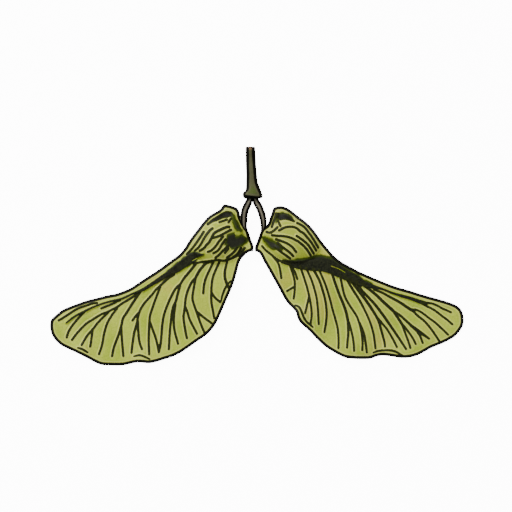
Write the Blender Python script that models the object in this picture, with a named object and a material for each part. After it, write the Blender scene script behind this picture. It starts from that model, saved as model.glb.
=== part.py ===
"""A pair of maple samaras on their stalk, lying flat: two winged nutlets held by a forked stalk.

The frame is +Z up, with the origin on the surface under the middle of the pair. +Y runs along the
stalk towards its cut end, and +X towards the right-hand wing tip.
"""
import math

import bmesh
import bpy
import numpy as np
from mathutils import Matrix, Vector
from mathutils.geometry import delaunay_2d_cdt

# Driving dimensions, in millimetres
SPAN = 82.5                # wing tip to wing tip
NUT_MID_HEIGHT = 2.2       # height of the nutlets' middle plane over the surface
NUT_BULGE = 2.05           # what a nutlet adds to the blade's half thickness
NUT_ROLL = 2.6             # width of the nutlet's rounding in from its outline
BLADE_HALF = 0.3           # half of the wing blade's thickness
VEIN_RAISE = 0.2           # how far a vein stands out of each face of the blade
COSTA_RAISE = 0.42         # the same for the thick band that stiffens the leading edge
RIB_RAISE = 0.2            # the same for a rib on a nutlet
HOLLOW_DEPTH = 0.5         # depth of the hollows beside a nutlet's attachment
WAVE = 0.35                # how far the trailing margin waves up and down
WAVE_LENGTH = 11.0
OUTSET = 0.17              # how far the real margin lies outside the middle of the drawn outline
OUTSET_FADE = 1.2          # distance over which that grows from nothing at the nutlet's inner edge
MARGIN_DROOP = 0.5         # how far the blade bends down towards its trailing margin
CURL_RAISE = 0.55          # how far a curled stretch of the margin stands up
CURL_RADIUS = 1.7
STALK_RISE = 0.7           # how much higher the stalk's cut end lies than its fork

# Mesh steps, in millimetres
OUTLINE_STEP = 0.8
LINE_STEP = 1.0
BLADE_STEP = 1.6
NUT_STEP = 0.85
FOOT_MARGIN = 0.13         # how far a vein's foot lies outside its drawn edge
CREST_CLEARANCE = 0.3      # crest points nearer than this to another are made one
FOOT_CLEARANCE = 0.24
RIM_CLEARANCE = 0.36
WIDE_LINE = 0.7            # a line of this half width or more gets a shoulder on each side
SHOULDER = 0.55            # where the shoulder lies, as a share of the half width
STALK_SIDES = 12

# Points are named by where they lie in the photograph, in its pixels, with y down
SPAN_PX = 412.5
CENTRE_PX = (256.85, 256.2)
PIXEL = SPAN / SPAN_PX
MM = 0.001

# "edge" and "inner" run along the middle of the drawn outline and make one closed ring. "costa" has
# (x, y, half width) stations; any other line is (half width at its start, at its end, points).
LEFT = {
    "name": "samara_left",
    "edge": [(236.4, 209.6), (233, 208), (227, 206.4), (224.3, 206.2), (222.6, 209), (219.2, 212),
             (213.7, 215), (209.4, 218), (203.9, 224), (199.3, 230), (194.6, 236), (190.3, 242),
             (186.7, 248), (184, 251.5), (180, 255.9), (172, 261.8), (164, 267.7), (156, 273.3),
             (148, 278.4), (140, 283.7), (132, 288.9), (127, 291.4), (117, 295), (107, 297),
             (97, 299.6), (87, 302.1), (77, 305.6), (67, 309.4), (62, 312.1), (57, 316.2),
             (53.2, 319.6), (51.9, 322.8), (51.8, 328), (53.3, 334), (57, 339.6), (62, 344),
             (67, 346.6), (77, 351.2), (87, 356.2), (95, 360.6), (102, 363.4), (112, 364),
             (122, 363.9), (129, 362.6), (135, 361.2), (141, 360.9), (149, 361.6), (156, 360.3),
             (164, 357.8), (172, 355.2), (180, 351.3), (188, 346), (196, 340.2), (203.3, 335.3),
             (208, 331.3), (213, 325.3), (217, 318), (221.7, 307.3), (226.3, 296.7), (231.7, 284),
             (235.3, 272), (238, 262), (241, 257), (245.5, 253.3), (250, 251.6), (253.2, 251.5)],
    "inner": [(253.2, 251.5), (253.1, 246.6), (251.2, 243), (248.7, 238.4), (246.6, 234.6),
              (243.7, 233.2), (241.8, 229.5), (240, 225), (238.7, 220.5), (238.4, 216.5),
              (237.8, 212.8), (236.4, 209.6)],
    "nut": {"centre": (219, 237.5), "half": (30, 24), "towards": (189, 256)},
    "tip": (51, 323),
    "phase": 0.4,
    "curls": [(141, 359), (83, 350)],
    "hollows": [((234.5, 241.5), (10, 7)), ((224, 215.5), (8, 4))],
    "costa": [(206, 257.5, 3), (196, 257, 4.5), (192, 258, 5), (188, 260.4, 4.3), (184, 263.3, 4.2),
              (180, 266.2, 4.1), (176, 269, 3.9), (172, 271.2, 3.4), (168, 273.8, 2.6),
              (160, 278.9, 2.1), (152, 284.1, 1.8), (144, 289, 1.7), (136, 292.5, 1.3),
              (129, 295.5, 1.1), (122, 298.3, 1.1), (112, 300.9, 1.1), (102, 303.6, 1.1)],
    "veins": [
        (1.4, 1.2, [(194, 264), (199, 262.5), (206, 261.5), (212, 260.8), (218, 260), (224, 260.7),
                    (230, 259), (236, 256.3), (240, 252.5)]),
        (1.1, 0.8, [(102, 303.6), (92, 307.5), (82, 312.6), (72, 318.2), (66.3, 322.8)]),
        (0.9, 0.7, [(97, 303.8), (87, 305.5), (77, 308.9), (67, 315.2), (58.7, 320.3)]),
        (0.9, 0.7, [(84.3, 312), (77, 319.7), (72, 325.9), (68.3, 332), (66.7, 337.3)]),
        (1.0, 0.8, [(119, 300), (112, 304), (107, 306), (101.3, 308.3)]),
        (1.2, 1.2, [(136, 295), (127, 300.5), (117, 307), (107, 312)]),
        (1.1, 0.9, [(107, 312), (97, 316.7), (87, 323), (77, 333.2), (72, 339.8)]),
        (1.1, 0.9, [(107, 312), (97, 323.6), (87, 335.8), (81.7, 345)]),
        (0.9, 0.8, [(92.3, 330), (91.5, 338), (90.2, 346.5)]),
        (1.1, 0.9, [(117, 308.5), (107, 323.8), (104, 334), (102, 345), (99, 354)]),
        (1.3, 0.9, [(137, 297), (127, 312.2), (121.3, 326), (114, 347), (112, 356)]),
        (0.9, 0.8, [(121.3, 327), (122, 340), (123.3, 356)]),
        (1.4, 1.3, [(174, 274), (168, 278.5), (160.5, 285.5)]),
        (1.2, 1.2, [(160.5, 285.5), (152, 294.7), (144, 303.7), (140, 310.5), (137.8, 318),
                    (137, 323)]),
        (1.1, 0.9, [(137, 323), (134, 334), (132.3, 345), (131, 356)]),
        (0.9, 0.8, [(137.8, 321), (138.4, 332), (142, 349)]),
        (0.9, 0.7, [(139.5, 312), (136, 315.7), (132.5, 320.3)]),
        (1.2, 0.9, [(160.3, 287), (152, 309.4), (149.2, 326), (148.7, 340), (149, 357)]),
        (0.9, 0.8, [(150, 322), (156, 339), (158.7, 351)]),
        (1.5, 1.4, [(192, 265), (188, 272.5), (180.5, 284)]),
        (1.2, 0.9, [(180.5, 284), (172, 295), (164, 315.1), (160.7, 343), (158.7, 352)]),
        (1.2, 1.2, [(180.5, 284), (178, 293), (175.5, 303)]),
        (1.0, 0.8, [(175.5, 303), (172, 312), (170, 330), (168.8, 349)]),
        (1.0, 0.8, [(175.5, 303), (174, 320), (174.5, 330), (178, 343.5)]),
        (1.4, 1.3, [(209, 261.3), (203, 266.3), (195.8, 277.5)]),
        (1.2, 1.2, [(195.8, 277.5), (188, 290.1), (185, 306)]),
        (1.0, 0.8, [(185, 306), (183.6, 318), (185.5, 331), (187, 338)]),
        (1.0, 0.8, [(185, 306), (190, 320), (197, 333.5)]),
        (1.2, 1.2, [(195.8, 277.5), (192.5, 296.6), (196.3, 311)]),
        (1.0, 0.8, [(196.3, 311), (200.5, 323), (204.5, 332.5)]),
        (1.0, 0.8, [(196.3, 311), (204, 317.5), (211.5, 323)]),
        (1.0, 0.8, [(213, 261.5), (207.3, 272), (203.7, 285.3), (203.3, 293.3)]),
        (1.3, 0.9, [(219, 261), (213.3, 273.3), (211.3, 288), (211.3, 300.7), (214.3, 318)]),
        (1.0, 0.8, [(211.5, 292), (214.3, 296.7), (220.3, 302)]),
        (1.1, 1.2, [(227.3, 261), (224.8, 272), (225, 278), (229, 288)]),
    ],
    "ribs": [
        (1.1, 0.9, [(212.5, 228.5), (208, 233), (203.9, 239), (200.5, 245), (195, 250.5)]),
        (1.1, 0.9, [(203.8, 232), (199.2, 239), (195, 245), (190, 251), (187, 254)]),
        (1.2, 0.9, [(229, 227), (226.6, 227.2), (220.1, 230), (214.6, 233), (209.5, 242),
                    (204.3, 248), (200, 250.8)]),
        (1.1, 0.8, [(231, 230), (225, 233), (221, 235.3), (213.3, 238)]),
        (1.1, 0.8, [(223, 236.5), (218.6, 242), (214.1, 248), (208, 251.8)]),
        (1.1, 0.8, [(225.5, 239.5), (220.1, 248), (213.5, 253.2)]),
        (1.1, 0.8, [(228, 246), (222.7, 251), (215.5, 257.5)]),
        (1.0, 0.8, [(236.8, 248), (231.1, 254.5), (227, 257.5)]),
        (1.0, 0.8, [(241, 248), (237.5, 254), (233, 257.3)]),
        (1.3, 1.0, [(232.5, 212), (234.5, 219), (237.5, 226), (241, 231.3)]),
        (1.3, 0.9, [(231, 210), (226, 210), (222, 212.7), (216, 216.7), (209.5, 221.5)]),
    ],
}
RIGHT = {
    "name": "samara_right",
    "edge": [(274.3, 209.6), (277, 208.1), (282, 207.9), (287, 209.8), (292, 213.2), (298, 218.1),
             (302, 221), (306, 224.2), (310, 228.3), (314, 233.1), (318, 239), (322.5, 245),
             (328, 251.6), (334, 258), (341, 263.4), (350, 268.4), (358, 272.7), (366, 276.3),
             (374, 279.8), (382, 283), (390, 286.2), (398, 288.9), (410, 292.3), (422, 296.1),
             (434, 299.5), (446, 302.9), (454, 305.9), (458.6, 309), (461.2, 313.5), (462.2, 320),
             (461.4, 325.2), (458.6, 330), (454, 335.2), (448, 338.9), (442, 341.9), (436, 344.3),
             (430, 346.9), (424, 350.3), (418, 353.4), (412, 355.4), (406, 356.3), (400, 356.2),
             (394, 355.3), (388, 354.4), (382, 354), (376, 355.1), (370, 357.2), (362, 357.5),
             (354, 357.2), (346, 356.2), (340, 353.7), (334, 350.4), (326, 345.2), (318, 337.8),
             (310, 329.4), (302, 322.2), (298.8, 317), (297.3, 311.5), (294, 307.3), (290, 303.4),
             (286, 298), (280, 287), (275, 278), (268, 265.5), (262.5, 256.5), (258.7, 252.5),
             (254.9, 251.5)],
    "inner": [(254.9, 251.5), (255.2, 246.6), (258.4, 242.8), (260.6, 238.6), (262.2, 234.8),
              (265.4, 233), (267.4, 229.8), (269.2, 226.2), (269.8, 222.5), (271.2, 218.5),
              (273.2, 213.4), (274.3, 209.6)],
    "nut": {"centre": (290, 236.5), "half": (31, 25), "towards": (322, 254)},
    "tip": (462.5, 316),
    "phase": 2.1,
    "curls": [(299, 314), (388, 352.5)],
    "hollows": [((273.5, 241.5), (9, 6)), ((280, 217), (4.5, 5.5))],
    "costa": [(289, 263, 2.6), (296, 264.6, 3.8), (304, 265.3, 4.6), (312, 265.3, 5.6),
              (320, 265, 6.4), (328, 266.2, 6.4), (336, 270, 6), (344, 274.2, 5), (352, 278, 4.6),
              (358, 281, 4.2), (362, 283.4, 3.6), (370, 286, 2.4), (378, 288.4, 1.7),
              (386, 290.6, 1.4), (394, 293.5, 1.3), (402, 296.1, 1.6), (410, 298.4, 1.8),
              (418, 301.2, 2), (424, 303, 2)],
    "veins": [
        (1.4, 1.3, [(262, 246), (271, 254.5), (280, 260), (289, 263)]),
        (1.3, 1.1, [(424, 302.8), (432, 303.8), (440, 306.9), (451, 312)]),
        (1.3, 1.1, [(424, 303.4), (430, 307.7), (438, 312.8), (446, 318.9), (452.5, 324.2)]),
        (1.0, 2.2, [(371, 288), (382, 292.6), (390, 297), (398, 301.3), (406, 306.3), (414, 310.8)]),
        (1.8, 1.2, [(414, 310.8), (422, 314), (430, 319), (442, 329.5), (448, 334.8)]),
        (1.6, 1.2, [(414, 310.8), (420, 317), (426, 323.2), (431, 329.5), (438, 340)]),
        (2.0, 2.2, [(362, 283.4), (368, 288.5), (375, 294), (382, 300.7), (388, 306.2), (393, 310.7)]),
        (1.4, 2.2, [(393, 310.7), (400, 315.3), (406, 320.7), (412, 326)]),
        (2.4, 1.3, [(412, 326), (418, 330.8), (424, 335), (429.3, 338.8)]),
        (1.4, 1.0, [(416, 330), (420, 336), (422.8, 343)]),
        (1.9, 1.8, [(393, 310.7), (396, 315), (400, 321), (403, 326)]),
        (1.4, 1.1, [(403, 326), (408, 331.5), (412, 337.5), (415.8, 344)]),
        (1.3, 1.0, [(403, 326), (405.5, 334), (408.3, 341.5), (410.3, 348)]),
        (2.0, 1.2, [(356, 281), (361, 289.5), (368, 297), (374, 303.5), (380, 311), (386, 319.7),
                    (399, 338.5), (406, 349)]),
        (1.5, 1.1, [(380, 313), (387, 325.5), (391.5, 333.7), (395, 341), (397.5, 347)]),
        (2.0, 1.2, [(350, 279), (355, 286), (361, 294), (367, 302), (372, 309.5), (376, 316),
                    (379.5, 323), (382, 331), (384.7, 346.5)]),
        (1.7, 1.1, [(345, 276), (350, 285), (354.5, 292.5), (359, 299.5), (363, 307), (366.5, 314),
                    (369.5, 321), (372, 328.5), (374, 337), (376, 348)]),
        (1.4, 1.2, [(340, 275), (343.5, 287), (347, 297), (351, 306), (356.5, 316), (359.5, 324),
                    (361.5, 333), (362.2, 350)]),
        (1.3, 1.1, [(359.5, 324), (363.8, 333), (365.7, 342), (366.7, 352.5)]),
        (1.5, 1.6, [(332, 274), (335, 283), (339, 294), (343, 303.5), (346, 312), (348, 323)]),
        (1.3, 1.1, [(348, 323), (348.2, 334), (347, 347.5)]),
        (1.2, 1.0, [(348, 323), (351, 331), (353, 340), (354, 350.7)]),
        (1.4, 1.1, [(319, 270), (325, 284), (329.5, 298), (332.5, 309.7), (335, 318), (337.5, 328),
                    (338.3, 348)]),
        (1.4, 1.1, [(313, 269), (319, 280), (322.7, 291), (325, 300), (326.2, 310), (326.2, 320),
                    (324.3, 332)]),
        (1.3, 1.1, [(306, 268), (311, 279), (314, 288), (316.5, 298), (317.6, 310), (318.6, 324)]),
        (1.4, 1.8, [(300, 266), (304, 278), (307, 286), (308.6, 296), (309, 306), (310, 317),
                    (311.3, 326)]),
        (1.0, 0.9, [(294, 265), (298, 280), (299.6, 292), (300.3, 303)]),
        (1.1, 0.9, [(289, 263), (292.5, 273), (294.5, 281), (294.6, 290), (293.6, 298.5)]),
        (0.9, 0.7, [(294.3, 286.5), (287, 291)]),
        (0.9, 0.7, [(283.5, 261.5), (287.5, 272), (288, 281), (286.8, 290)]),
        (1.1, 0.8, [(273, 256.5), (278, 263), (280, 270), (281.2, 278)]),
    ],
    "ribs": [
        (1.2, 0.9, [(297, 223), (301, 225), (305, 228), (308, 232), (314.5, 241.5), (318, 247.5)]),
        (1.2, 0.9, [(300, 231.5), (303.5, 233.5), (307, 237.5), (313, 245.5), (316, 250.5)]),
        (1.1, 0.9, [(296.5, 236), (300, 238.3), (304, 241.3), (308, 245), (313.5, 253.5)]),
        (1.1, 0.8, [(298, 241.5), (301.5, 244.3), (305, 247.5), (310.5, 255.5)]),
        (1.2, 1.0, [(279, 230.5), (285, 227.5), (291, 226.8), (296, 228), (300, 231.5)]),
        (1.1, 0.8, [(266.5, 232), (270, 232.7), (274, 230.5), (277.3, 227.3)]),
        (1.1, 0.8, [(272, 235.3), (277, 235.8), (284, 236.3), (291, 238), (298, 241.5)]),
        (1.0, 0.8, [(276, 239.3), (281, 241), (287, 243.5), (292, 247), (296, 252)]),
        (1.0, 0.8, [(277.5, 243), (283, 247.5), (289, 252), (293, 256)]),
        (1.0, 0.8, [(275.5, 247.5), (281, 252), (286, 255.5), (290, 258.5)]),
        (1.3, 1.0, [(277, 212.5), (275.5, 217), (274, 221), (271.8, 227.5)]),
        (1.3, 0.9, [(278.5, 211.7), (285, 212.7), (290, 216), (295, 220)]),
    ],
}
# Each station is (x, y, half width)
PEDICEL_PX = [(251.0, 147.8, 4.4), (251.1, 157, 4.5), (251.2, 166, 4.8), (251.6, 175, 5.3),
              (252.0, 183, 6.1), (252.2, 188, 7.2), (252.2, 191.5, 8.8), (252.1, 194.5, 10.2),
              (252.1, 197, 10.5), (252.2, 199, 9.3), (252.3, 199.8, 6.5)]
ARM_LEFT_PX = [(250.6, 196.5, 2.8), (248.6, 200.5, 3.5), (246.6, 205, 3.7), (245.1, 210, 3.6),
               (244.2, 215, 3.4), (243.8, 220, 3.2), (244.7, 225, 2.4), (246.1, 229, 1.8),
               (246.9, 231.2, 1.5)]
ARM_RIGHT_PX = [(254.4, 196.5, 2.8), (256.7, 200.5, 3.3), (259, 205, 3.3), (261.2, 210, 3.3),
                (262.6, 215, 3.4), (263.4, 220, 3.4), (263.7, 224.5, 3.0), (263.1, 228.3, 2.3),
                (262.5, 231, 1.6)]
ARM_FLATTEN = 0.85         # an arm's thickness as a share of its width
PEDICEL_FLATTEN = 0.9

WING_COLOUR = (0.42, 0.47, 0.13)
STALK_COLOUR = (0.09, 0.11, 0.03)


def clear_scene():
    for obj in list(bpy.data.objects):
        bpy.data.objects.remove(obj)


def place(points):
    """Photograph pixels to millimetres in the part's frame."""
    at = np.array(points, float)[:, :2]
    return np.column_stack([at[:, 0] - CENTRE_PX[0], CENTRE_PX[1] - at[:, 1]]) * PIXEL


def smooth_line(points, step):
    """Points about a step apart along a smooth curve through the given ones, and their share of the way."""
    ends = np.vstack([2 * points[0] - points[1], points, 2 * points[-1] - points[-2]])
    dense, share = [], []
    count = len(points) - 1
    for k in range(count):
        a, b, c, d = ends[k:k + 4]
        for t in np.linspace(0, 1, 24, endpoint=False):
            dense.append(0.5 * (2 * b + (c - a) * t + (2 * a - 5 * b + 4 * c - d) * t ** 2
                                + (3 * b - a - 3 * c + d) * t ** 3))
            share.append((k + t) / count)
    dense.append(points[-1])
    share.append(1.0)
    dense = np.array(dense)
    along = np.concatenate([[0], np.cumsum(np.linalg.norm(np.diff(dense, axis=0), axis=1))])
    wanted = np.linspace(0, along[-1], max(2, round(along[-1] / step) + 1))
    line = np.column_stack([np.interp(wanted, along, dense[:, axis]) for axis in (0, 1)])
    return line, np.interp(wanted, along, share)


def distance_to_line(points, line, widths):
    """How far each point is from a line, and the line's half width where it is nearest."""
    start, run = line[:-1], np.diff(line, axis=0)
    length = np.maximum((run ** 2).sum(axis=1), 1e-12)
    share = np.clip(((points[:, None] - start) * run).sum(axis=2) / length, 0, 1)
    away = np.linalg.norm(points[:, None] - start - share[:, :, None] * run, axis=2)
    nearest = away.argmin(axis=1)
    row = np.arange(len(points))
    width = widths[nearest] + share[row, nearest] * (widths[nearest + 1] - widths[nearest])
    return away[row, nearest], width


def inside(points, ring):
    """Whether each point lies inside a closed ring, by counting the sides that it sees."""
    x, y = points[:, 0, None], points[:, 1, None]
    after = np.roll(ring, -1, axis=0)
    spans = (ring[:, 1] > y) != (after[:, 1] > y)
    rise = np.where(after[:, 1] == ring[:, 1], 1e-12, after[:, 1] - ring[:, 1])
    crossing = ring[:, 0] + (y - ring[:, 1]) / rise * (after[:, 0] - ring[:, 0])
    return (spans & (x < crossing)).sum(axis=1) % 2 == 1


def ramp(value):
    """0 below 0, 1 above 1, and a smooth step between."""
    value = np.clip(value, 0, 1)
    return value * value * (3 - 2 * value)


def ring_of(samara):
    """A samara's closed outline."""
    edge, _ = smooth_line(place(samara["edge"]), OUTLINE_STEP)
    inner, _ = smooth_line(place(samara["inner"]), OUTLINE_STEP)
    run = np.gradient(edge, axis=0)
    outwards = np.column_stack([run[:, 1], -run[:, 0]]) / np.linalg.norm(run, axis=1)[:, None]
    if (edge[:, 0] * run[:, 1] - edge[:, 1] * run[:, 0]).sum() < 0:
        outwards = -outwards
    ends = np.minimum(np.linalg.norm(edge - edge[0], axis=1), np.linalg.norm(edge - edge[-1], axis=1))
    edge = edge + outwards * OUTSET * ramp(ends / OUTSET_FADE)[:, None]
    return np.vstack([edge[:-1], inner[:-1]])


def raised_lines(samara):
    """Every line that stands out of a samara, as (points, half widths, height)."""
    found = []
    stations = samara["costa"]
    line, share = smooth_line(place(stations), LINE_STEP)
    widths = np.interp(share * (len(stations) - 1), range(len(stations)), [s[2] for s in stations])
    found.append((line, widths * PIXEL + FOOT_MARGIN, COSTA_RAISE))
    for group, height in (("veins", VEIN_RAISE), ("ribs", RIB_RAISE)):
        for start, end, points in samara[group]:
            line, share = smooth_line(place(points), LINE_STEP)
            found.append((line, (start + (end - start) * share) * PIXEL + FOOT_MARGIN, height))
    return found


def wing_axes(samara):
    """The nutlet's centre, the direction to the wing tip, the one to the trailing margin, the length."""
    centre, tip = place([samara["nut"]["centre"], samara["tip"]])
    length = np.linalg.norm(tip - centre)
    along = (tip - centre) / length
    side = np.array([-along[1], along[0]])
    return centre, along, side if side[1] < 0 else -side, length


def middle_height(points, samara):
    """Height of the middle plane: level through the nutlet, down to the surface at the tip, waved."""
    centre, along, side, length = wing_axes(samara)
    s = (points - centre) @ along
    t = (points - centre) @ side
    down = ramp((s - 4) / (length - 6))
    height = NUT_MID_HEIGHT + (BLADE_HALF - NUT_MID_HEIGHT) * down
    outwards = np.clip(t / 12, 0, 1)
    height -= MARGIN_DROOP * outwards ** 2 * (1 - down)
    height += WAVE * outwards * np.sin(2 * math.pi * s / WAVE_LENGTH + samara["phase"])
    for curl in place(samara["curls"]):
        height += CURL_RAISE * np.exp(-((points - curl) ** 2).sum(axis=1) / CURL_RADIUS ** 2)
    return np.maximum(height, BLADE_HALF)


def half_thickness(points, samara, ring, lines):
    """Half of the thickness: blade, nutlet, hollows and everything raised."""
    nut = samara["nut"]
    centre, towards = place([nut["centre"], nut["towards"]])
    along = (towards - centre) / np.linalg.norm(towards - centre)
    across = np.array([-along[1], along[0]])
    offset = points - centre
    long_half, short_half = (half * PIXEL for half in nut["half"])
    inwards = 1 - (offset @ along / long_half) ** 2 - (offset @ across / short_half) ** 2
    closed = np.vstack([ring, ring[:1]])
    rim_distance, _ = distance_to_line(points, closed, np.zeros(len(closed)))
    roll = 1 - (1 - np.clip(rim_distance / NUT_ROLL, 0, 1)) ** 2
    body = np.clip(inwards, 0, 1) ** 0.7 * roll
    half = BLADE_HALF + NUT_BULGE * body
    for spot, size in samara["hollows"]:
        away = (points - place([spot])[0]) / (np.array(size) * PIXEL)
        half -= HOLLOW_DEPTH * np.exp(-(away ** 2).sum(axis=1)) * np.clip(body * 2, 0, 1)
    raised = np.zeros(len(points))
    for line, widths, height in lines:
        away, width = distance_to_line(points, line, widths)
        raised = np.maximum(raised, height * (1 - np.clip(away / width, 0, 1) ** 2))
    return half + raised * ramp(rim_distance / 0.6)


class Points:
    """Points in the plane, where a new one too near an old one is left out or becomes the old one."""

    def __init__(self, first):
        self.store = np.empty((20000, 2))
        self.count = len(first)
        self.store[:self.count] = first

    def all(self):
        return self.store[:self.count]

    def nearest(self, point):
        away = ((self.all() - point) ** 2).sum(axis=1)
        return int(away.argmin()), math.sqrt(away.min())

    def add(self, point):
        self.store[self.count] = point
        self.count += 1
        return self.count - 1

    def add_or_share(self, point, clearance):
        index, away = self.nearest(point)
        return index if away < clearance else self.add(point)

    def add_if_clear(self, point, clearance):
        if self.nearest(point)[1] >= clearance:
            self.add(point)


def crest_edges(points, ring, lines):
    """Adds each raised line's crest to the points, and gives the mesh edges that run along them."""
    closed = np.vstack([ring, ring[:1]])
    edges = []
    for line, _, _ in lines:
        away, _ = distance_to_line(line, closed, np.zeros(len(closed)))
        keep = inside(line, ring) & (away > RIM_CLEARANCE)
        before = None
        for point, kept in zip(line, keep):
            here = points.add_or_share(point, CREST_CLEARANCE) if kept else None
            if here is not None and before is not None and here != before:
                edges.append((before, here))
            before = here
    return edges


def add_feet(points, ring, lines):
    """Adds the points where each raised line meets the surface, on both of its sides."""
    closed = np.vstack([ring, ring[:1]])
    for line, widths, _ in lines:
        run = np.gradient(line, axis=0)
        normal = np.column_stack([-run[:, 1], run[:, 0]]) / np.linalg.norm(run, axis=1)[:, None]
        reaches = (-1, -SHOULDER, SHOULDER, 1) if widths.max() > WIDE_LINE else (-1, 1)
        for reach in reaches:
            feet = line + reach * normal * widths[:, None]
            away, _ = distance_to_line(feet, closed, np.zeros(len(closed)))
            for foot in feet[inside(feet, ring) & (away > RIM_CLEARANCE)]:
                points.add_if_clear(foot, FOOT_CLEARANCE)


def add_fill(points, ring, samara):
    """Adds points over the rest of the surface, closer together on the nutlet."""
    nut_centre = place([samara["nut"]["centre"]])[0]
    nut_reach = samara["nut"]["half"][0] * PIXEL
    for step, over_nut in ((NUT_STEP, True), (BLADE_STEP, False)):
        low, high = ring.min(axis=0), ring.max(axis=0)
        rows = np.arange(low[1], high[1], step * math.sin(math.pi / 3))
        for number, y in enumerate(rows):
            x = np.arange(low[0] + step / 2 * (number % 2), high[0], step)
            row = np.column_stack([x, np.full(len(x), y)])
            on_nut = np.linalg.norm(row - nut_centre, axis=1) < nut_reach
            for point in row[inside(row, ring) & (on_nut == over_nut)]:
                points.add_if_clear(point, 0.6 * step)


def samara_object(samara, material):
    """One samara: a flat mesh cut along its veins, lifted to its upper and lower faces by formula."""
    ring = ring_of(samara)
    lines = raised_lines(samara)
    points = Points(ring)
    count = len(ring)
    edges = [(k, (k + 1) % count) for k in range(count)]
    edges += crest_edges(points, ring, lines)
    add_feet(points, ring, lines)
    add_fill(points, ring, samara)
    inside_triangles = 1
    flat, _, faces, *_ = delaunay_2d_cdt([Vector(p) for p in points.all()], edges, [],
                                         inside_triangles, 1e-5)
    flat = np.array([tuple(p) for p in flat])
    middle = middle_height(flat, samara)
    half = half_thickness(flat, samara, ring, lines)
    bm = bmesh.new()
    upper = [bm.verts.new((x * MM, y * MM, z * MM)) for (x, y), z in zip(flat, middle + half)]
    lowest = np.maximum(middle - half, 0)
    lower = [bm.verts.new((x * MM, y * MM, z * MM)) for (x, y), z in zip(flat, lowest)]
    used = {}
    for a, b, c in faces:
        bm.faces.new((upper[a], upper[b], upper[c]))
        bm.faces.new((lower[c], lower[b], lower[a]))
        for side in ((a, b), (b, c), (c, a)):
            used[tuple(sorted(side))] = None if tuple(sorted(side)) in used else side
    for side in filter(None, used.values()):
        a, b = side
        bm.faces.new((upper[b], upper[a], lower[a], lower[b]))
    loose = [v for v in bm.verts if not v.link_faces]
    bmesh.ops.delete(bm, geom=loose, context="VERTS")
    bmesh.ops.recalc_face_normals(bm, faces=bm.faces)
    return finished_object(samara["name"], bm, material)


def finished_object(name, bm, material):
    mesh = bpy.data.meshes.new(name)
    bm.to_mesh(mesh)
    bm.free()
    mesh.shade_smooth()
    mesh.set_sharp_from_angle(angle=math.radians(50))
    mesh.materials.append(material)
    obj = bpy.data.objects.new(name, mesh)
    bpy.context.scene.collection.objects.link(obj)
    return obj


def tube(name, stations, heights, flatten, material):
    """A closed tube of oval rings through (x, y, half width) stations, at the given heights."""
    centres = [Vector((x, y, z)) for (x, y), z in zip(place(stations), heights)]
    bm = bmesh.new()
    rings = []
    last = len(centres) - 1
    for k, centre in enumerate(centres):
        along = (centres[min(k + 1, last)] - centres[max(k - 1, 0)]).normalized()
        side = along.cross(Vector((0, 0, 1))).normalized()
        up = side.cross(along)
        half = stations[k][2] * PIXEL
        turn = Matrix((side * half, up * half * flatten, along)).transposed().to_4x4()
        made = bmesh.ops.create_circle(bm, cap_ends=k in (0, last), radius=1, segments=STALK_SIDES,
                                       matrix=Matrix.Translation(centre) @ turn)
        rings.append({edge for vert in made["verts"] for edge in vert.link_edges
                      if all(end in made["verts"] for end in edge.verts)})
    for before, after in zip(rings, rings[1:]):
        bmesh.ops.bridge_loops(bm, edges=list(before | after))
    bmesh.ops.recalc_face_normals(bm, faces=bm.faces)
    bmesh.ops.scale(bm, vec=(MM, MM, MM), verts=bm.verts)
    return finished_object(name, bm, material)


def stalk_object(material):
    """The stalk: a pedicel that flares to its receptacle, and the two arms that hold the samaras."""
    stalk = tube("stalk", PEDICEL_PX,
                 [NUT_MID_HEIGHT + STALK_RISE * (1 - k / (len(PEDICEL_PX) - 1)) ** 2
                  for k in range(len(PEDICEL_PX))], PEDICEL_FLATTEN, material)
    arms = bpy.data.collections.new("arms")
    bpy.context.scene.collection.children.link(arms)
    for name, stations in (("arm_left", ARM_LEFT_PX), ("arm_right", ARM_RIGHT_PX)):
        arm = tube(name, stations, [NUT_MID_HEIGHT] * len(stations), ARM_FLATTEN, material)
        bpy.context.scene.collection.objects.unlink(arm)
        arms.objects.link(arm)
    union = stalk.modifiers.new("arms", "BOOLEAN")
    union.operation = "UNION"
    union.operand_type = "COLLECTION"
    union.collection = arms
    union.solver = "EXACT"
    bpy.context.view_layer.objects.active = stalk
    bpy.ops.object.modifier_apply(modifier=union.name)
    for arm in list(arms.objects):
        bpy.data.objects.remove(arm)
    bpy.data.collections.remove(arms)
    return stalk


def plain_material(name, colour, roughness):
    material = bpy.data.materials.new(name)
    material.use_nodes = True
    shader = material.node_tree.nodes["Principled BSDF"]
    shader.inputs["Base Color"].default_value = (*colour, 1)
    shader.inputs["Roughness"].default_value = roughness
    shader.inputs["Metallic"].default_value = 0
    material.diffuse_color = (*colour, 1)
    return material


def main():
    clear_scene()
    wing = plain_material("green_wing", WING_COLOUR, 0.55)
    samara_object(LEFT, wing)
    samara_object(RIGHT, wing)
    stalk_object(plain_material("green_stalk", STALK_COLOUR, 0.5))


main()
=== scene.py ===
"""The looks of the maple samara: two winged nutlets with their veins and ribs, and a forked stalk.

Points are named by where they lie in the photograph, in its pixels with y down. Lengths are in
millimetres, and meshes are made in metres.
"""
import math

import bmesh
import bpy
import numpy as np
from mathutils import Matrix, Vector

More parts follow.
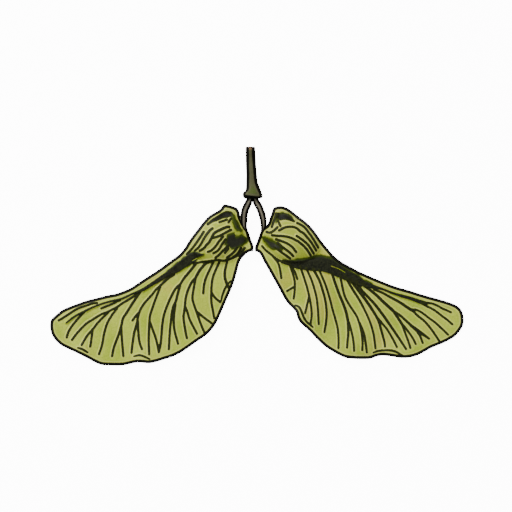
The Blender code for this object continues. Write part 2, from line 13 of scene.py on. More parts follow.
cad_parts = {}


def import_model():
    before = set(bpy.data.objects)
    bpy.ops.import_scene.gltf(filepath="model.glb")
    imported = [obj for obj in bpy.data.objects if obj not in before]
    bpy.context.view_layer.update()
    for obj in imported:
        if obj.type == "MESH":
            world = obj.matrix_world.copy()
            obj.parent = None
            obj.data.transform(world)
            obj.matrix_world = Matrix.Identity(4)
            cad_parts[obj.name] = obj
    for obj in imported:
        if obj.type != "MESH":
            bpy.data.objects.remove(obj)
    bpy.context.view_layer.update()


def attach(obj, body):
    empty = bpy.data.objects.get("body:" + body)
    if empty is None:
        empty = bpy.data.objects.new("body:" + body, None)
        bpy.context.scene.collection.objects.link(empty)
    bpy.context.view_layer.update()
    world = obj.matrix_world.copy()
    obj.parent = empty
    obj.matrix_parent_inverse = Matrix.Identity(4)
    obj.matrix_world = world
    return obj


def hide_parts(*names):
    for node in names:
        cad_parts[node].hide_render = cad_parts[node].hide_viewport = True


MM = 0.001
PIXEL = 0.2                # millimetres to a pixel
CENTRE_PX = (256.85, 256.2)
PICTURE_PX = 512           # the photograph's width and height
CURVE_STEPS = 24           # points worked out between two given ones of a smooth curve
EDGE_STEP = 0.1            # spacing of the points along an outline
LINE_STEP = 0.3            # spacing along a vein, rib or band
STEM_STEP = 0.12           # spacing of a stem's rings
COLUMNS = 330              # mesh cells from a nutlet to its wing tip
ROWS = 138                 # mesh cells from the leading edge to the trailing one
BLADE_HALF = 0.3           # the lower face lies this far under the middle plane, as in the solids
MEMBRANE_UP = 0.06         # the membrane's upper face lies this far over the middle plane
OUTSET = 0.35              # how far the real margin lies outside the middle of the drawn outline
OUTSET_FADE = 3.0          # it shrinks to nothing within this distance of where the nutlets meet
EVEN_ROWS = 0.55           # how evenly the rows are spaced; the rest crowds them at both edges
NUT_MID_HEIGHT = 2.2       # height of the middle plane in the nutlets, and of the arms' axes
NUT_BULGE = 2.05           # how far a nutlet swells to each side of the middle plane
NUT_ROLL = 2.6             # how far in from its edge a nutlet rounds over
NUT_FULLNESS = 0.7         # the lower, the flatter its top and the steeper its sides
NUT_SKIN = 4.0             # its own colour and smoothness are full from one part in this of its swell
NUT_WALL = 5.0             # its upper wall is as thick as its lower one from one part in this
HOLLOW_DEPTH = 0.5
HOLLOW_FADE = 2.0          # its hollows have their full depth from one part in this
SLOPE_START = 4.0          # distance from the nutlet's middle at which the wing starts to slope down
SLOPE_END = 2.0            # distance from the tip at which it has reached the surface
EDGE_REACH = 12.0          # the free edge's droop and waves grow over this distance from the axis
WAVE = 0.35                # how far the free edge waves up and down
WAVE_LENGTH = 11.0
MARGIN_DROOP = 0.5
CURL_RAISE = 0.55
CURL_RADIUS = 1.7
RIM_THINNING = 3           # the distance to the rim is measured to every third point of the outline
RIM_ROUND = 0.5            # how far in from the rim the sheet rounds over
RIM_UPPER = 0.4            # how much of the upper side's thickness is left at the rim
RIM_LOWER = 0.75           # how much of the lower side's
FAR = 9.0                  # the distance given for points as far as this from every line, or further
VEIN_RAISE = 0.2
RIB_RAISE = 0.2
RIB_SPREAD = 0.04          # how much wider than drawn a nutlet's rib is on each side
COSTA_RAISE = 0.42
BLEND = 0.32               # how far a vein's foot spreads outside its dark line
SHOULDER = 0.16            # how far inside its dark line a vein reaches its full height
LOWER_RELIEF = 0.8         # the underside's relief, as a share of the upper side's
MARGIN_DARK = 0.6          # width of the dark line along a margin
QUILT = 0.07               # how far the membrane swells between its veins
QUILT_REACH = 0.7          # how far from a vein it is at its fullest
QUILT_MARGIN = 1.2         # how far from the rim it is
STALK_RISE = 0.7           # how far the stalk's cut end lies over the nutlets' middle plane
STALK_SIDES = 40
ARM_FLATTEN = 0.85
PEDICEL_FLATTEN = 0.9
CREASE_ANGLE = 50          # degrees past which a stem's edge looks sharp
WING_BUMP = 0.08           # depth of the membrane's grain and net of veinlets
BARK_BUMP = 0.1            # depth of the bark's fibres
FIBRE_SHADE = 0.6          # brightness of the shade mixed in along the fibres, against the bark's
CUT_BROWN = 0.7            # how far the brown of the cut end reaches along a stem
LENS = 320
SENSOR = 36
FOCUS_HEIGHT = 0.6         # height at which a pixel of the picture shows a pixel of the photograph
FLOOR_GLOW = 12.0          # only as the camera sees it, so that it lights nothing
FLOOR_HALF = 1.5           # metres
WORLD_GLOW = 0.6
# A light is (name, place in metres, width in metres, watts)
LIGHTS = (("key", (-0.3, 0.32, 0.34), 0.25, 4.5),
          ("fill", (0.35, -0.2, 0.5), 0.4, 1.0))

# How many of a pattern's cells go into a metre
BLOTCHES = 180.0
GRAINS = 2600.0
SPECKS = 1500.0
VEINLETS = 1100.0
TAN_PATCHES = 110.0
# Uneven edge of the painted shade's soft washes
SHADE_WASH_PATCHES = 900.0

# Colours as seen on screen: red, green and blue, 0 to 255
MEMBRANE = (168, 182, 58)
MEMBRANE_BLOTCH = (152, 170, 44)
MEMBRANE_TAN = (186, 168, 72)
VEINLET = (100, 112, 24)
SPECK = (206, 210, 110)
NUTLET_SKIN = (142, 152, 44)
# Painted highlight: the pale strips along the dark lines and inside the margin
VEIN_SIDE_HIGHLIGHT = (198, 202, 104)
# Painted shade: the soft dark washes, at their edge and in their middle
SHADE_WASH_EDGE = (48, 60, 5)
SHADE_WASH_HEART = (33, 35, 24)
COSTA_DARK = (16, 18, 9)
COSTA_LIGHT = (34, 37, 20)
VEIN_DARK = (24, 28, 4)
VEIN_LIGHT = (38, 43, 8)
VEIN_HEART = (17, 16, 11)
MARGIN = (7, 8, 2)
PEDICEL_BARK = (82, 82, 58)
RECEPTACLE_GREEN = (68, 82, 34)
# The arms' grey bark, lightened into a painted highlight along their middle between the shaded flanks
ARM_BARK_HIGHLIGHT = (108, 104, 90)
CUT_END = (128, 98, 72)
# Painted shade: near black, down the stems' flanks
PAINTED_FLANK_SHADE = (5, 5, 2)

# What each wing is drawn from. A line is (half width at its start, at its end, points), and
# stations are (x, y, half width). "edge" runs round the free margin from the top of the nutlet, with
# its tip between the "tip_corners", and "inner" runs back beside the stalk. "costa" is the thick rib
# by the leading edge. "ribs" and "ridges" lie on the nutlet. The dark bands are painted shade on the
# nutlet's shoulder and along folds of the edge. The soft dark patches are painted shade in its
# hollows, on its shaded slopes and along the costa, and "gaps" are streaks left pale in the patches and
# the costa. "nut" points from its middle towards the wing, "hollows" are (middle, half sizes) of its
# dents, "curls" are where the free edge lifts, and "phase" shifts the waves in it.
LEFT = {
    "piece": "winged_nutlet_left",
    "node": "samara_left",
    "edge": [(236.4, 209.6), (233, 208), (227, 206.4), (224.3, 206.2), (222.6, 209), (219.2, 212),
             (213.7, 215), (209.4, 218), (203.9, 224), (199.3, 230), (194.6, 236), (190.3, 242),
             (186.7, 248), (184, 251.5), (180, 255.9), (172, 261.8), (164, 267.7), (156, 273.3),
             (148, 278.4), (140, 283.7), (132, 288.9), (127, 291.4), (117, 295), (107, 297),
             (97, 299.6), (87, 302.1), (77, 305.6), (67, 309.4), (62, 312.1), (57, 316.2),
             (53.2, 319.6), (51.9, 322.8), (51.8, 328), (53.3, 334), (57, 339.6), (62, 344),
             (67, 346.6), (77, 351.2), (87, 356.2), (95, 360.6), (102, 363.4), (112, 364),
             (122, 363.9), (129, 362.6), (135, 361.2), (141, 360.9), (149, 361.6), (156, 360.3),
             (164, 357.8), (172, 355.2), (180, 351.3), (188, 346), (196, 340.2), (203.3, 335.3),
             (208, 331.3), (213, 325.3), (217, 318), (221.7, 307.3), (226.3, 296.7), (231.7, 284),
             (235.3, 272), (238, 262), (241, 257), (245.5, 253.3), (250, 251.6), (253.2, 251.5)],
    "inner": [(253.2, 251.5), (253.4, 247), (252.3, 244.3), (250.2, 240.7), (248.4, 236.8),
              (247.2, 232.8), (245.6, 229.8), (243.9, 227.4), (242.1, 224.4), (240.2, 220.7),
              (238.8, 217), (237.9, 212.8), (236.4, 209.6)],
    "tip_corners": [(54.5, 318.2), (56, 338.4)],
    "nut": {"centre": (219, 237.5), "half": (30, 24), "towards": (189, 256)},
    "tip": (51, 323),
    "phase": 0.4,
    "curls": [(141, 359), (83, 350)],
    "hollows": [((234.5, 241.5), (10, 7)), ((224, 215.5), (8, 4))],
    "costa": [(203, 254.4, 0.6), (200, 254.9, 1.2), (197.6, 255.4, 2.9), (195, 256, 4),
              (192, 258, 5), (188, 260.4, 4.3), (184, 263.3, 4.2), (180, 266.2, 4.1), (176, 269, 3.9),
              (172, 271.2, 3.4), (168, 273.8, 2.5), (160, 278.9, 2.1), (152, 284.1, 1.8),
              (144, 289.1, 1.7), (136, 292.5, 1.2), (132, 293.9, 1), (122, 298.5, 1),
              (112, 300.9, 1), (102, 303.6, 0.95), (92, 307.5, 0.95), (87, 310, 1.1),
              (82, 312.6, 1.2), (77, 315, 1), (72, 318.2, 1), (66.3, 322.8, 0.8)],
    "veins": [
        (1.1, 1.1, [(240, 252.5), (236, 256.3), (230, 259), (224, 260.7), (218, 260), (212, 260.8),
                    (206, 261.5), (199, 262.5), (194, 264)]),
        (1.1, 1.1, [(97, 303), (92.5, 303.5), (87, 305.3), (82, 306.9), (77, 308.9), (72, 311.9),
                    (67, 315.2), (62, 318.4), (58.7, 320.3)]),
        (1.1, 1.1, [(84.3, 312), (80.3, 316), (77, 319.7), (72, 325.9), (68.3, 332),
                    (66.7, 337.3)]),
        (1.1, 1.1, [(120, 300.3), (117, 301.5), (112, 304), (107, 306), (101.3, 308.3)]),
        (1.1, 1.1, [(141, 291.2), (136.5, 294.4), (132, 297.5), (127, 300.5), (122, 303.5),
                    (117, 307), (112, 309.6), (108, 311.7)]),
        (1.1, 1.1, [(108, 311.7), (102, 313.9), (97, 316.7), (92, 319.9), (87, 323), (82, 327.7),
                    (77, 333.2), (72, 339.8)]),
        (1.1, 1.1, [(108, 312.5), (102, 318.3), (97, 323.6), (93, 329), (87, 335.8), (81.7, 345)]),
        (1.1, 1.1, [(92.6, 329), (91.5, 338), (90.2, 346.5)]),
        (1.1, 1.1, [(117, 308.5), (112, 315), (107, 323.8), (104, 334), (102, 345), (99, 354)]),
        (1.3, 1.1, [(140.5, 291.5), (137.3, 296.2), (132, 304.1), (127, 312.2), (123, 318.5),
                    (121.3, 326), (118.5, 335), (114, 347), (112, 356)]),
        (1.1, 1.1, [(121.3, 327), (122, 340), (123.3, 356)]),
        (1.3, 1.2, [(174, 274.5), (168, 278.5), (164, 282.1), (160.5, 285.5)]),
        (1.1, 1.1, [(160.5, 285.5), (156, 289.7), (152, 294.7), (148, 299.1), (144, 303.7),
                    (140, 310.5), (137.8, 318), (137, 323)]),
        (1.2, 1.1, [(137, 323), (136, 326.5), (134, 334), (132.4, 345), (131.5, 352.6)]),
        (1.1, 1.1, [(137.8, 321), (138.4, 332), (139.5, 342), (142, 349)]),
        (1.1, 1.1, [(139.5, 312), (136, 315.7), (132.5, 320.3)]),
        (1.1, 1.1, [(160.3, 287), (156, 298), (152, 309.4), (150, 316), (149.2, 326), (148.7, 340),
                    (149.2, 354)]),
        (1.1, 1.1, [(150, 322), (152.5, 329), (156, 339), (158.7, 351)]),
        (1.4, 1.1, [(196, 263.5), (192, 268.7), (188, 273.5), (184, 278.4), (180.5, 284)]),
        (1.2, 1.1, [(180.5, 284), (176, 288.2), (172, 295), (168, 303.7), (164, 315.1),
                    (162.3, 325), (160.7, 343), (158.7, 352)]),
        (1.2, 1.3, [(180, 286), (178, 293), (176.5, 299), (175, 304)]),
        (1.1, 1.1, [(175, 303), (173.5, 306), (172, 312), (171.2, 319), (170, 330), (168.8, 349)]),
        (1.1, 1.1, [(175.5, 303), (175.3, 306), (174.3, 313), (173.8, 320), (174.5, 330),
                    (178, 343.5)]),
        (1.4, 1.3, [(212, 260.8), (206, 263.3), (203, 266.3), (200, 270), (197.5, 274),
                    (195.8, 277.5)]),
        (1.2, 1.1, [(195.8, 277.5), (192, 281.8), (188, 290.1), (185.8, 298), (185, 306)]),
        (1.1, 1.1, [(185, 306), (184.2, 312), (183.6, 318), (185.5, 331), (187, 338)]),
        (1.1, 1.1, [(185, 306), (187.5, 312), (190, 320), (197, 333.5)]),
        (1.1, 1.1, [(195.8, 277.5), (194, 287), (192.5, 296.6), (193.2, 302), (196.3, 311)]),
        (1.1, 1.1, [(196.3, 311), (200.5, 323), (204.5, 332.5)]),
        (1.1, 1.1, [(196.3, 311), (204, 317.5), (211.5, 323)]),
        (1.1, 1.1, [(213.6, 261.7), (212.2, 264.6), (208.4, 272.3), (205.6, 279), (204, 285.5),
                    (203.3, 293.3)]),
        (1.1, 1.1, [(219.3, 262.5), (216.8, 267.6), (214.2, 273.6), (212.5, 279), (211.5, 288),
                    (211.3, 300.7), (212.3, 307.3), (214.3, 318)]),
        (1.1, 1.1, [(211.5, 292), (214.3, 296.7), (217.7, 300), (220.3, 302)]),
        (1.1, 1.4, [(227.3, 261), (225.7, 267.3), (224.8, 272), (225, 278), (227, 284),
                    (229.5, 288.5)]),
    ],
    "ribs": [
        (1.1, 0.9, [(212.5, 228.5), (210.5, 230), (208, 233), (205.7, 236), (203.9, 239),
                    (202.3, 242), (200.5, 245), (198.2, 248), (195, 250.5)]),
        (1.1, 0.9, [(203.8, 232), (201.3, 236), (199.2, 239), (197.2, 242), (195, 245),
                    (192.7, 248), (190, 251), (187, 254)]),
        (1.2, 1, [(229, 227), (226.6, 227.2), (220.1, 230), (214.6, 233), (212.4, 236.5),
                  (209.5, 242), (206.6, 245), (204.3, 248), (200, 250.8)]),
        (1, 0.9, [(231, 230), (225, 233), (221, 235.3), (216, 237.2), (213.3, 238)]),
        (1, 0.9, [(223, 236.5), (221.3, 239), (218.6, 242), (216.7, 245), (214.1, 248),
                  (211, 250.8), (208, 251.8)]),
        (1, 0.9, [(225.5, 239.5), (221.6, 245), (220.1, 248), (217.5, 251), (213.5, 253.2)]),
        (1, 0.9, [(228, 246), (222.7, 251), (219, 255), (215.5, 257.5)]),
        (0.9, 0.9, [(228.5, 248.5), (225, 253)]),
        (1, 0.9, [(236.8, 248), (234.9, 251), (231.1, 254.5), (227, 257.5)]),
        (1, 0.9, [(241, 248), (239.5, 251), (237.5, 254), (233, 257.3)]),
        (1, 0.9, [(244.7, 248), (242, 252), (239, 256)]),
        (0.9, 0.9, [(219.5, 222.3), (227, 219.8)]),
        (0.9, 0.9, [(228.5, 222.5), (230.8, 219)]),
        (1.1, 1, [(247.4, 233), (248, 236), (251, 242), (252.4, 245)]),
    ],
    "ridges": [
        (1.3, 1, [(232.5, 212), (234.5, 219), (237.5, 226), (241, 231.3)]),
        (1.3, 0.9, [(231, 210), (226, 210), (222, 212.7), (216, 216.7), (209.5, 221.5)]),
    ],
    # Painted shade: dark strips on the nutlet's shoulder and along folds of the edge
    "shade_bands": [
        [(208, 224.3, 1.3), (212, 221.2, 1.6), (215, 219.7, 2.2), (218, 218.2, 2.3),
         (221, 216.5, 2.6), (224, 215.1, 3.1), (227, 214.5, 3.4), (230, 214.2, 2.7)],
        [(134, 356.2, 0.7), (137, 355.5, 1), (140, 355.1, 1.1), (144.5, 356.5, 1),
         (149.8, 359, 0.8)],
        [(78, 347.8, 0.8), (82.5, 349.2, 1.2), (87.6, 352.3, 0.9)],
        [(221.3, 300.5, 0.8), (222.4, 295.5, 1), (224.2, 290.5, 1.1), (226.8, 285.4, 1),
         (230.6, 281, 0.8)],
    ],
    # Painted shade: soft dark washes in the hollow, on the shaded slope and along the costa
    "shade_washes": [
        [(227, 243.4, 2.8), (229.6, 242.4, 7.6), (233, 241.6, 8.8), (236, 242.4, 7),
         (239, 240.8, 5.2), (242, 240.4, 6), (245.4, 240.6, 3)],
        [(231.4, 213.6, 1.2), (233.6, 218, 1.8), (235.4, 223, 2.6), (237.6, 227.4, 3),
         (240.6, 230, 1.6)],
        [(203, 254.6, 0.8), (198, 255.4, 3.4), (195, 256.4, 5), (192, 258, 5.6), (186, 261.6, 4.8),
         (180, 266, 4.4), (172, 271.8, 3.4), (164, 276.8, 2.4), (156, 281.6, 1.8)],
    ],
    "gaps": [(0.6, 0.6, [(192.5, 260.6), (196.5, 258.5), (201, 256.6)]),
             (0.5, 0.5, [(161, 281.2), (167, 278.2), (173, 274.4)])],
}
RIGHT = {
    "piece": "winged_nutlet_right",
    "node": "samara_right",
    "edge": [(274.3, 209.6), (277, 208.1), (282, 207.9), (287, 209.8), (292, 213.2), (298, 218.1),
             (302, 221), (306, 224.2), (310, 228.3), (314, 233.1), (318, 239), (322.5, 245),
             (328, 251.6), (334, 258), (341, 263.4), (350, 268.4), (358, 272.7), (366, 276.3),
             (374, 279.8), (382, 283), (390, 286.2), (398, 288.9), (410, 292.3), (422, 296.1),
             (434, 299.5), (446, 302.9), (454, 305.9), (458.6, 309), (461.2, 313.5), (462.2, 320),
             (461.4, 325.2), (458.6, 330), (454, 335.2), (448, 338.9), (442, 341.9), (436, 344.3),
             (430, 346.9), (424, 350.3), (418, 353.4), (412, 355.4), (406, 356.3), (400, 356.2),
             (394, 355.3), (388, 354.4), (382, 354), (376, 355.1), (370, 357.2), (362, 357.5),
             (354, 357.2), (346, 356.2), (340, 353.7), (334, 350.4), (326, 345.2), (318, 337.8),
             (310, 329.4), (302, 322.2), (298.8, 317), (297.3, 311.5), (294, 307.3), (290, 303.4),
             (286, 298), (280, 287), (275, 278), (268, 265.5), (262.5, 256.5), (258.7, 252.5),
             (254.9, 251.5)],
    "inner": [(254.9, 251.5), (255.1, 247.4), (256.7, 244.6), (258.8, 240.8), (260.5, 236.8),
              (261.8, 232.8), (263.3, 230.1), (265.4, 228.4), (267.8, 226.6), (269.8, 223.3),
              (271.4, 218.6), (273.2, 213.4), (274.3, 209.6)],
    "tip_corners": [(458.6, 308.5), (458.6, 330.5)],
    "nut": {"centre": (290, 236.5), "half": (31, 25), "towards": (322, 254)},
    "tip": (462.5, 316),
    "phase": 2.1,
    "curls": [(299, 314), (388, 352.5)],
    "hollows": [((273.5, 241.5), (9, 6)), ((280, 217), (4.5, 5.5))],
    "costa": [(282, 261.8, 1.6), (289, 263, 2.6), (296, 264.6, 3.8), (304, 265.3, 4.6),
              (312, 265.3, 5.6), (320, 265, 6.4), (328, 266.2, 6.4), (336, 270, 6),
              (344, 274.2, 5), (352, 278, 4.6), (358, 281, 4.2), (362, 283.4, 3.5),
              (366, 284.8, 2.8), (370, 285.6, 2.2), (374, 287.1, 2.2), (378, 288, 1.5),
              (382, 288.9, 1.1), (386, 290.4, 1.1), (390, 292.1, 1.1), (394, 293.5, 1.1),
              (398, 294.7, 1.2), (402, 296, 1.6), (410, 298.2, 1.6), (418, 301, 1.9),
              (422, 302.4, 2.2), (426, 303.5, 1.8)],
    "veins": [
        (1, 1, [(262, 246), (266, 250.5), (271, 254.5), (275, 258), (280, 260.8), (289, 263)]),
        (1, 1, [(422, 302.4), (430, 303.1), (434, 304.2), (438, 305.9), (442, 308.3), (446, 310),
                (450.8, 312.2)]),
        (1, 1, [(422, 303.5), (426, 305.9), (430, 307.7), (434, 309.9), (438, 312.8), (442, 316),
                (446, 318.9), (452.3, 324.2)]),
        (1, 1.5, [(374, 289.5), (382, 292.6), (386, 294.8), (390, 297), (394, 299.1), (398, 301.3),
                  (402, 303.7), (406, 306.5), (410, 309.1), (414, 311.3)]),
        (1, 1, [(411.5, 309.7), (415, 309.5), (419.8, 311.4), (424.5, 314.5), (428.8, 317.9),
                (435, 322.4), (442, 328.8), (448, 334.6)]),
        (1.1, 1, [(414, 312), (418, 316), (424, 320.8), (430, 327.6), (436, 336), (439.3, 341.2)]),
        (1.3, 1.5, [(362, 283.4), (368, 288.5), (375, 294), (382, 300.7), (388, 306.2),
                    (393, 310.7)]),
        (1, 1.3, [(393, 310.7), (400, 315.3), (406, 320.7), (412, 326.2)]),
        (1.4, 1.9, [(411, 325.6), (415, 328.6), (418, 331)]),
        (1.8, 1, [(418, 331), (424, 335), (429, 338.6)]),
        (1.1, 1, [(416, 330), (420, 336), (422.6, 342.8)]),
        (1.3, 1.3, [(393, 310.7), (396, 315), (400, 321), (403, 326)]),
        (1, 1, [(403, 325), (406, 328.6), (412, 337), (415.6, 343.8)]),
        (1, 1, [(402.6, 326), (405.5, 334), (408.3, 341.5), (410.3, 347.8)]),
        (1.3, 1.3, [(356, 281), (361, 289.5), (368, 297), (374, 303.5), (380, 311), (386, 319.3)]),
        (1.3, 1, [(386, 319.3), (392, 328), (399, 338.3), (403, 344.4), (406, 349)]),
        (1, 1, [(376, 316), (379.6, 320.3), (382.6, 324), (386.8, 329), (390.4, 334.8),
                (394, 341.2), (396.8, 347)]),
        (1.4, 1.4, [(350, 279), (355, 286), (361, 294), (367, 302), (372, 309.5)]),
        (1.3, 1, [(372, 309.5), (376, 316), (379, 322.4), (380.6, 328), (382.8, 336), (384.4, 342),
                  (384.9, 346.5)]),
        (1.3, 1.1, [(345, 276), (350, 285), (354.5, 292.5), (359, 299.5), (363, 307)]),
        (1, 1, [(363, 307), (366.5, 314), (369.5, 321), (372, 328.5), (374, 337), (375.4, 348.2)]),
        (1.1, 1, [(340, 275), (342.2, 287), (345, 297), (350, 306), (356.5, 316), (359.5, 324)]),
        (1, 1, [(359.5, 324), (361.5, 333), (362.4, 342), (362.2, 350)]),
        (1.1, 1, [(359.5, 323), (363.3, 332), (365.3, 341), (366.7, 352.3)]),
        (1.2, 1.4, [(332, 274), (335, 283), (339, 294), (343, 303.5), (346, 312), (347.7, 320)]),
        (1.2, 1, [(347.6, 319), (348.1, 327), (348.2, 334), (347.4, 341), (347, 347.5)]),
        (1, 1, [(348.8, 322), (350.8, 329), (352.6, 337), (353.6, 344), (354, 350.7)]),
        (1, 1, [(319, 270), (325, 284), (329.5, 298), (332.5, 309.7), (335, 318), (337.5, 328),
                (338.5, 338.7), (338.3, 348)]),
        (1.2, 1, [(313, 269), (319, 280), (322.7, 291), (325, 300), (326.4, 310), (326.2, 320),
                  (324.3, 332)]),
        (1, 1, [(306, 268), (311, 279), (314, 288), (316.5, 298), (317.8, 310), (318.6, 324)]),
        (1, 1, [(300, 266), (304, 278), (307, 287.5), (309.3, 297), (311, 307), (311.5, 315.5),
                (310.3, 324)]),
        (1, 1, [(308.9, 296.5), (308, 300.5), (307, 304.5), (306.1, 308.5), (305, 313)]),
        (1, 1, [(291.5, 266.5), (294.8, 272), (297.3, 279)]),
        (1, 1, [(289, 263), (292.5, 273), (294.5, 281), (294.6, 290), (293.6, 298.5)]),
        (1, 1, [(294.3, 286.5), (287, 291)]),
        (1, 1, [(273, 256.5), (278, 263), (280, 270), (281.2, 278)]),
    ],
    "ribs": [
        (0.95, 0.95, [(297, 223), (301, 225), (305, 228), (308, 232), (311, 236), (314.5, 241.5),
                      (318, 247.5)]),
        (0.95, 0.95, [(300, 231.5), (303.5, 233.5), (307, 237.5), (310, 241), (313, 245.5),
                      (316, 250.5)]),
        (0.95, 0.95, [(296.5, 236), (300, 238.3), (304, 241.3), (308, 245), (311, 249.5),
                      (313.5, 253.5)]),
        (0.95, 0.95, [(298, 241.5), (301.5, 244.3), (305, 247.5), (308, 251.5), (310.5, 255.5)]),
        (0.95, 0.95, [(279, 230.5), (285, 227.5), (291, 226.8), (296, 228), (300, 231.5)]),
        (0.95, 0.95, [(266.5, 232), (270, 232.7), (274, 230.5), (277.3, 227.3)]),
        (0.95, 0.95, [(272, 235.3), (277, 235.8), (284, 236.3), (291, 238), (298, 241.5)]),
        (0.95, 0.95, [(276, 239.3), (281, 241), (287, 243.5), (292, 247), (296, 252)]),
        (0.95, 0.95, [(277.5, 243), (283, 247.5), (289, 252), (293, 256)]),
        (0.95, 0.95, [(275.5, 247.5), (281, 252), (286, 255.5), (290, 258.5)]),
        (0.95, 0.95, [(278.3, 221.5), (280.2, 226)]),
        (0.95, 0.95, [(276.3, 213.5), (275.2, 217), (273.8, 221), (271.8, 227)]),
    ],
    "ridges": [
        (1.3, 1, [(276.2, 212.5), (274.7, 217), (273.2, 221), (271, 226.5)]),
        (1.3, 0.9, [(278.5, 211.2), (285, 212.2), (290, 215.2), (295, 219.3)]),
    ],
    # Painted shade: dark strips on the nutlet's shoulder and along folds of the edge
    "shade_bands": [
        [(278.5, 214.3, 1.6), (279.8, 217.5, 2.8), (284, 216.7, 3.4), (289, 218.3, 2.4),
         (294, 221.5, 1)],
        [(295, 305.4, 0.8), (297.3, 305.9, 1), (299.4, 307.5, 1.1), (301, 310.5, 1.1),
         (302.6, 314.5, 1.1), (304.4, 318.6, 1.1), (306.6, 321.7, 1), (309.5, 324.3, 1),
         (312.8, 327, 0.8)],
        [(373.5, 352.6, 0.8), (376.4, 351.5, 1), (381, 350.6, 1.1), (390, 350.3, 1.1),
         (396.4, 352, 1.1), (401, 354.8, 1), (404, 356.2, 0.8)],
    ],
    # Painted shade: soft dark washes in the hollow, on the shaded slope and along the costa
    "shade_washes": [
        [(262.4, 237.2, 1), (265.5, 239.8, 2.6), (269.5, 242.8, 3.8), (273.5, 245.2, 4.6),
         (277.5, 246.8, 4), (281, 249, 2)],
        [(276, 222, 1.4), (278, 218, 2.6), (281, 215.6, 3.6), (286, 216.2, 3.2), (291, 218.4, 2)],
        [(284, 261, 1.4), (292, 262.4, 3), (300, 263, 4.4), (310, 263, 6.4), (320, 262.6, 8),
         (330, 265, 8), (338, 269.4, 6.8), (346, 274, 5.8), (354, 278, 5), (362, 282.6, 4),
         (370, 285.2, 3)],
    ],
    "gaps": [(0.6, 0.5, [(331, 266), (338, 268.5), (345, 272.5)]),
             (0.5, 0.5, [(362, 286.4), (367, 290.2), (372, 293.4)])],
}
# A stem's stations also give how wide the painted shade down its flanks is: (x, y, half width, flank
# shade width)
PEDICEL_PX = [(250.4, 147.2, 4.6, 3.2), (250.4, 149, 4.9, 3.4), (250.6, 155, 5, 3.6),
              (251, 165, 5.2, 3.3), (251.6, 175, 5.4, 3.2), (252, 183, 6, 3.2),
              (252.7, 188, 7, 3.2), (253, 191, 8.1, 3.1), (252.9, 193, 9.4, 3),
              (252.7, 195, 10.2, 2.9), (252.5, 196.7, 10, 2.9), (252.4, 198, 9, 2.9),
              (252.4, 198.8, 7.4, 2.9)]
ARM_LEFT_PX = [(251.8, 195.5, 2.9, 2.4), (248.6, 202.5, 3.6, 2.5), (246.7, 206.5, 3.8, 2.6),
               (245, 210.5, 3.8, 2.6), (244.1, 215.5, 3.7, 2.6), (243.9, 220.5, 3.6, 2.5),
               (244, 225.5, 3.1, 2.4), (245.3, 229, 2.2, 2.2), (246.8, 231.8, 1.6, 2),
               (247.9, 235, 1.3, 2), (249.3, 238.7, 1.2, 2), (251.1, 242.4, 1.1, 2),
               (252.7, 245.6, 0.9, 2), (253.3, 247.2, 0.6, 2)]
ARM_RIGHT_PX = [(253.8, 195.5, 2.9, 2.4), (256.5, 202.5, 3.6, 2.5), (258.9, 206.5, 3.7, 2.6),
                (260.6, 210.5, 3.6, 2.6), (262.3, 215.5, 3.6, 2.5), (263.3, 220.5, 3.4, 2.4),
                (263.6, 225.5, 3, 2.3), (263.1, 229, 2.4, 2.2), (262.1, 231.8, 1.7, 2),
                (261.1, 235, 1.3, 2), (259.8, 238.7, 1.2, 2), (258, 242.4, 1.1, 2),
                (256.2, 245.6, 0.9, 2), (255.5, 247.2, 0.6, 2)]
SHADE_LEAN = 0.06          # how much further the painted shade down the flanks comes in on a stem's right side, away from the key light


def place(points):
    """Photograph pixels to millimetres in the part's frame."""
    at = np.array(points, float)[:, :2]
    return np.column_stack([at[:, 0] - CENTRE_PX[0], CENTRE_PX[1] - at[:, 1]]) * PIXEL


def ramp(value):
    """0 below 0, 1 above 1, and a smooth step between."""
    value = np.clip(value, 0, 1)
    return value * value * (3 - 2 * value)


def smooth_line(points, step):
    """Points about a step apart on a smooth curve through the given ones, and their share of the way."""
    ends = np.vstack([2 * points[0] - points[1], points, 2 * points[-1] - points[-2]])
    dense = []
    for a, b, c, d in zip(ends, ends[1:], ends[2:], ends[3:]):
        for t in np.linspace(0, 1, CURVE_STEPS, endpoint=False):
            dense.append(0.5 * (2 * b + (c - a) * t + (2 * a - 5 * b + 4 * c - d) * t ** 2
                                + (3 * b - a - 3 * c + d) * t ** 3))
    dense = np.array(dense + [points[-1]])
    share = np.linspace(0, 1, len(dense))
    along = arc_length(dense)
    wanted = np.linspace(0, along[-1], max(2, round(along[-1] / step) + 1))
    line = np.column_stack([np.interp(wanted, along, dense[:, axis]) for axis in (0, 1)])
    return line, np.interp(wanted, along, share)


def arc_length(line):
    """How far along a line each of its points is."""
    return np.concatenate([[0], np.cumsum(np.linalg.norm(np.diff(line, axis=0), axis=1))])


def distance_to_line(points, line, widths):
    """How far each point is from a line, and the line's half width where it is nearest."""
    best = np.full(len(points), np.inf)
    width = np.zeros(len(points))
    for a, b, wa, wb in zip(line, line[1:], widths, widths[1:]):
        run = b - a
        share = np.clip((points - a) @ run / max(run @ run, 1e-12), 0, 1)
        away = np.linalg.norm(points - a - share[:, None] * run, axis=1)
        near = away < best
        best[near] = away[near]
        width[near] = (wa + share * (wb - wa))[near]
    return best, width


